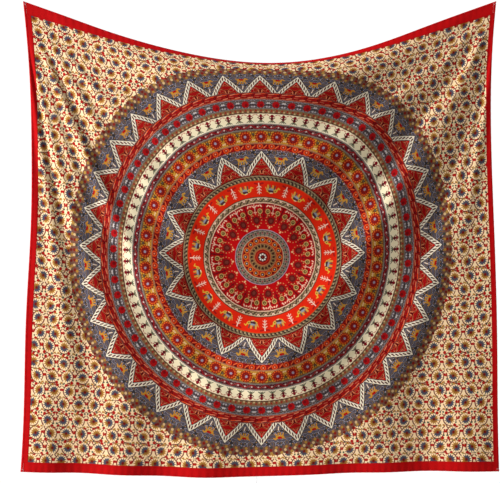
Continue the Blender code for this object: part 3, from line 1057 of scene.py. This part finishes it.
def plain_cotton(name, code, worn):
    """Dyed cotton: two close shades in slow clouds and slubs."""
    material, shader, uv = cloth_material(name)
    slubs = weave(shader, uv)
    cloud = noise(uv, 14, 2) * 0.6 + slubs * 0.2
    colour = uv.node("ShaderNodeMix", {"data_type": "RGBA"},
                     {0: cloud, 6: dye(code), 7: dye(worn)}, 2)
    colour_cloth(shader, colour, slubs)
    return material


front_print = printed_cotton("printed_cotton_front", 0)
back_print = printed_cotton("printed_cotton_back", 0.52)
red_cotton = plain_cotton("red_cotton", "B40408", "C20A0C")
red_back = plain_cotton("red_cotton_back", "AC1214", "B81E1C")
print("cloth materials:", [m.name for m in (front_print, back_print, red_cotton, red_back)])

# %% [markdown]
# ## Thread
#
# Sewing thread is two or three plies twisted together, so the grooves between them run round it at a
# slant.
# Painted shade lies in these grooves as dark stripes, a wave along the thread's own UV map.

# %% Thread material
def thread_material(name, code):
    material, shader, uv = cloth_material(name)
    across, along, _ = uv.split()
    # painted shade in the grooves between plies: a slanting wave mixes the dye with a copy of it at 0.55
    # brightness
    ply_lit_share = ((across + along * 0.6) * (2 * math.pi / 0.0011)).sine().scaled(0.5, 0.5)
    painted_groove_shade = [0.55 * c for c in dye(code)[:3]] + [1.0]
    colour = uv.node("ShaderNodeMix", {"data_type": "RGBA"}, {0: ply_lit_share, 6: painted_groove_shade, 7: dye(code)}, 2)
    material.node_tree.links.new(colour.socket, shader.inputs["Base Color"])
    shader.inputs["Roughness"].default_value = 0.55
    return material


red_thread = thread_material("red_thread", "A00810")
grey_thread = thread_material("grey_thread", "A8A4A0")
loose_thread.data.materials.append(grey_thread)

# %% [markdown]
# ## The printed panel
#
# The panel is cut slightly larger than what shows, because the bands are lapped over its edge.
# A grid of about 10 mm is fine enough for every fold and keeps the piece under 200,000
# triangles.

# %% Printed panel
PANEL_THICK = 0.0006
PANEL_CELL = 0.0099
LAP = 0.004              # how far a band covers the panel's edge


def lines(start, end, cell):
    return np.linspace(start, end, round((end - start) / cell) + 1)


panel = cloth_sheet(
    "printed_panel_cloth", lines(BORDER["left"] - LAP, WIDTH - BORDER["right"] + LAP, PANEL_CELL),
    lines(BORDER["bottom"] - LAP, DROP - BORDER["top"] + LAP, PANEL_CELL),
    PANEL_THICK, 0.0, [front_print, back_print])
stands_for(panel, "printed_panel")
print("panel triangles:", 2 * len(panel.data.polygons))

# %% [markdown]
# ## Red bands, hems and stitches
#
# Each side has a flat band sewn over the panel's edge, and its outer edge is turned twice into a
# round hem. A hem is a long oval profile carried along the edge. Every stitch is a short arc of
# thread that dives into the cloth at both ends; one loop makes all stitches of a row at once.

# %% Bands, hems and stitches
BAND_THICK = 0.0006
HEM_THICK = 0.0024
RUN_CELL = 0.008
STITCH_LENGTH, STITCH_PITCH, STITCH_THICK = 0.0027, 0.0034, 0.0007
OVAL = 14                # points round a hem's profile
UNDER_HEM = 0.003        # how far a band reaches under its hem
OVER_BAND = 0.0003       # how much higher the level bands lie where they cross the upright ones
STITCH_SINK = 0.93       # how deep a stitch pulls into the hem, as a share of its height


def edge_places(side, along, inward):
    """Flat places from the distance along an edge and the distance inward from it."""
    level = side in ("top", "bottom")
    depth = DROP if level else WIDTH
    away = depth - inward if side in ("top", "right") else inward
    return (along, away) if level else (away, along)


def turned_hem(name, side, run):
    """An oval profile along the edge: inward = half width (1 + cos t), out = half thickness times
    the square root of |sin t|, which is flatter than an ellipse."""
    t = np.linspace(0, 2 * np.pi, OVAL, endpoint=False)
    raised = HEM_THICK / 2 * np.sign(np.sin(t)) * np.sqrt(np.abs(np.sin(t)))
    along, inward = np.meshgrid(lines(*run, RUN_CELL), HEM / 2 * (1 + np.cos(t)), indexing="ij")
    u, v = edge_places(side, along, inward)
    middle, normal = hung(u, v)
    rounded = 1 + 0.10 * np.sin(2 * np.pi * along / PUCKER_WAVE * 1.7)
    points = middle + normal * (raised * rounded)[..., None]
    return closed_tube(name, points, np.stack([u, v], -1), [red_cotton])


def stitch_row(name, side, run, inward, lift):
    """Arcs of thread: centre line lift = height sin(pi s), radius shrinking to nothing at its ends."""
    count = int((run[1] - run[0]) / STITCH_PITCH)
    starts = run[0] + STITCH_PITCH * (np.arange(count) + 0.1)
    share = np.array([0.0, 0.22, 0.5, 0.78, 1.0])
    around = np.arange(6) * np.pi / 3
    along = starts[:, None] + share * STITCH_LENGTH
    u, v = edge_places(side, along, inward)
    middle, normal = hung(np.broadcast_to(u, along.shape), np.broadcast_to(v, along.shape))
    forth = middle[:, -1:] - middle[:, :1]
    forth = forth / np.linalg.norm(forth, axis=-1, keepdims=True)
    beside = np.cross(normal, forth)
    thin = (STITCH_THICK / 2) * np.array([0.35, 0.95, 1.0, 0.95, 0.35])
    arch = lift + STITCH_THICK * (np.sin(np.pi * share) - 0.45)
    centre = middle + normal * arch[None, :, None]
    ring = (beside[:, :, None] * np.cos(around)[None, None, :, None]
            + normal[:, :, None] * np.sin(around)[None, None, :, None])
    points = centre[:, :, None] + ring * thin[None, :, None, None]
    caps = np.array([[0, 1, 2, 3], [0, 3, 4, 5]])
    quads = np.concatenate([tube_faces(len(share), 6), caps[:, ::-1], caps + (len(share) - 1) * 6])
    faces = (quads[None] + (np.arange(count) * len(share) * 6)[:, None, None]).reshape(-1, 4)
    twist = np.stack(np.broadcast_arrays(along[:, :, None] + 0 * around, inward + 0.0004 * around), -1)
    return new_piece(name, points.reshape(-1, 3), faces.tolist(), twist.reshape(-1, 2), [red_thread])


for side, width in BORDER.items():
    level = side in ("top", "bottom")
    hem_run = (CORNER + GAP, (WIDTH if level else DROP) - CORNER - GAP)
    band_run = ((HEM + GAP, WIDTH - HEM - GAP) if level
                else (BORDER["bottom"] - LAP, DROP - BORDER["top"] + LAP))
    along = lines(*band_run, RUN_CELL)
    ends = [edge_places(side, 0.0, inward) for inward in np.linspace(HEM - UNDER_HEM, width, 7)]
    beside = np.sort([end[1] if level else end[0] for end in ends])
    across, up = (along, beside) if level else (beside, along)
    lift = (PANEL_THICK + BAND_THICK) / 2 + (OVER_BAND if level else 0)
    band = cloth_sheet(f"{side}_border_band", across, up, BAND_THICK, lift, [red_cotton, red_back])
    hem = turned_hem(f"{side}_turned_hem", side, hem_run)
    hem_stitches = stitch_row(f"{side}_hem_stitches", side, hem_run, HEM - STITCH_INSET,
                              HEM_THICK / 2 * STITCH_SINK)
    seam_stitches = stitch_row(f"{side}_seam_stitches", side, band_run, width - STITCH_INSET,
                               lift + BAND_THICK / 2)
    for piece, node, slot in (
            (band, "border", "red_border"), (hem, "hem", "red_border"),
            (hem_stitches, "hem_stitching", "red_thread"),
            (seam_stitches, "seam_stitching", "red_thread")):
        stands_for(piece, f"{side}_{node}")

# %% [markdown]
# ## Folded corners
#
# Where two hems cross, four layers lie on each other and make a small thick packet. It is a
# rounded box (a superellipsoid) whose rim shows the layers as shallow grooves.

# %% Corners
LAYERS = 4


def folded_corner(name, across, up, at_wall):
    """A superellipsoid: each coordinate is a signed power of a cosine or sine; the rim is
    pressed in between the layers."""
    t = np.linspace(-np.pi / 2, np.pi / 2, 25)
    s = np.linspace(0, 2 * np.pi, 48, endpoint=False)

    def power(values, exponent):
        return np.sign(values) * np.abs(values) ** exponent

    groove = 1 - 0.03 * np.cos(LAYERS * 2 * np.pi * (power(np.sin(t), 0.5) + 1) / 2)
    rim = (power(np.cos(t), 0.35) * groove)[:, None]
    across_share, up_share = rim * power(np.cos(s), 0.3)[None], rim * power(np.sin(s), 0.3)[None]
    u = (across[0] + across[1]) / 2 + across_share * (across[1] - across[0]) / 2 * 0.96
    v = (up[0] + up[1]) / 2 + up_share * (up[1] - up[0]) / 2 * 0.96
    out = power(np.sin(t), 0.5)[:, None] * np.ones_like(u) * CORNER_THICK / 2
    if at_wall:
        x, z = outline(u, v)
        points = np.stack([x, -CORNER_THICK / 2 - out, z], -1)
    else:
        middle, normal = hung(u, v)
        points = middle + normal * out[..., None]
    return closed_tube(name, points, np.stack([u, v], -1), [red_cotton])


for down_name, up in (("top", (DROP - CORNER, DROP)), ("bottom", (0, CORNER))):
    for side, across in (("left", (0, CORNER)), ("right", (WIDTH - CORNER, WIDTH))):
        corner = folded_corner(f"{down_name}_{side}_folded_corner", across, up, down_name == "top")
        stands_for(corner, f"{down_name}_{side}_corner")

# %% [markdown]
# ## Light, floor and backdrop
#
# A strong key light stands far off to the left and only a little in front of the cloth, so it
# grazes the folds and each has a bright and a dark side. A weak fill close to the upper right
# keeps the dark sides open, and a light behind the hanging shows the reverse. The surroundings
# are plain white, and a pale floor lies well below.

# %% Studio
HANGING_MIDDLE = (0.0, 0.0, -1.1)
AMBIENT = 0.05           # the white surroundings as the cloth sees them; the camera sees 1.05


def area_light(name, place, size, watts):
    """A square light that faces the middle of the hanging: yaw and pitch from the direction."""
    light = bpy.data.objects.new(name, bpy.data.lights.new(name, "AREA"))
    light.data.size = size
    light.data.energy = watts
    light.location = place
    towards = np.array(HANGING_MIDDLE) - np.array(place)
    yaw = math.atan2(-towards[0], towards[1])
    pitch = math.atan2(towards[2], math.hypot(towards[0], towards[1]))
    light.rotation_euler = (pitch + math.pi / 2, 0, yaw)
    bpy.context.scene.collection.objects.link(light)


area_light("key_light", (-9.5, -2.4, 3.4), 0.8, 2200)
area_light("fill_light", (2.6, -2.2, 0.9), 1.5, 26)
area_light("back_light", (1.5, 4.5, 0.5), 2.5, 150)

FLOOR_DROP = 0.35        # from the lowest thread to the floor
FLOOR_BEHIND, FLOOR_AHEAD, FLOOR_SIDE = 0.9, 6.0, 4.0
floor_level = cad_box[0][2] - FLOOR_DROP
floor_mesh = bpy.data.meshes.new("floor")
floor_corners = ((-FLOOR_SIDE, -FLOOR_AHEAD), (FLOOR_SIDE, -FLOOR_AHEAD),
                 (FLOOR_SIDE, FLOOR_BEHIND), (-FLOOR_SIDE, FLOOR_BEHIND))
floor_mesh.from_pydata([(x, y, floor_level) for x, y in floor_corners], [], [(0, 1, 2, 3)])
floor_material = bpy.data.materials.new("pale_floor")
floor_material.use_nodes = True
floor_shader = floor_material.node_tree.nodes["Principled BSDF"]
floor_shader.inputs["Base Color"].default_value = (0.8, 0.8, 0.79, 1)
floor_shader.inputs["Roughness"].default_value = 0.7
floor_mesh.materials.append(floor_material)
floor = bpy.data.objects.new("floor", floor_mesh)
bpy.context.scene.collection.objects.link(floor)

world = bpy.data.worlds.new("white_studio")
bpy.context.scene.world = world
world.use_nodes = True
backdrop = world.node_tree.nodes["Background"]
rays = world.node_tree.nodes.new("ShaderNodeLightPath")
strength = Wire(world.node_tree, rays.outputs["Is Camera Ray"]).scaled(1.05 - AMBIENT, AMBIENT)
world.node_tree.links.new(strength.socket, backdrop.inputs["Strength"])
backdrop.inputs["Color"].default_value = (1, 1, 1, 1)
bpy.context.scene.view_settings.view_transform = "Standard"
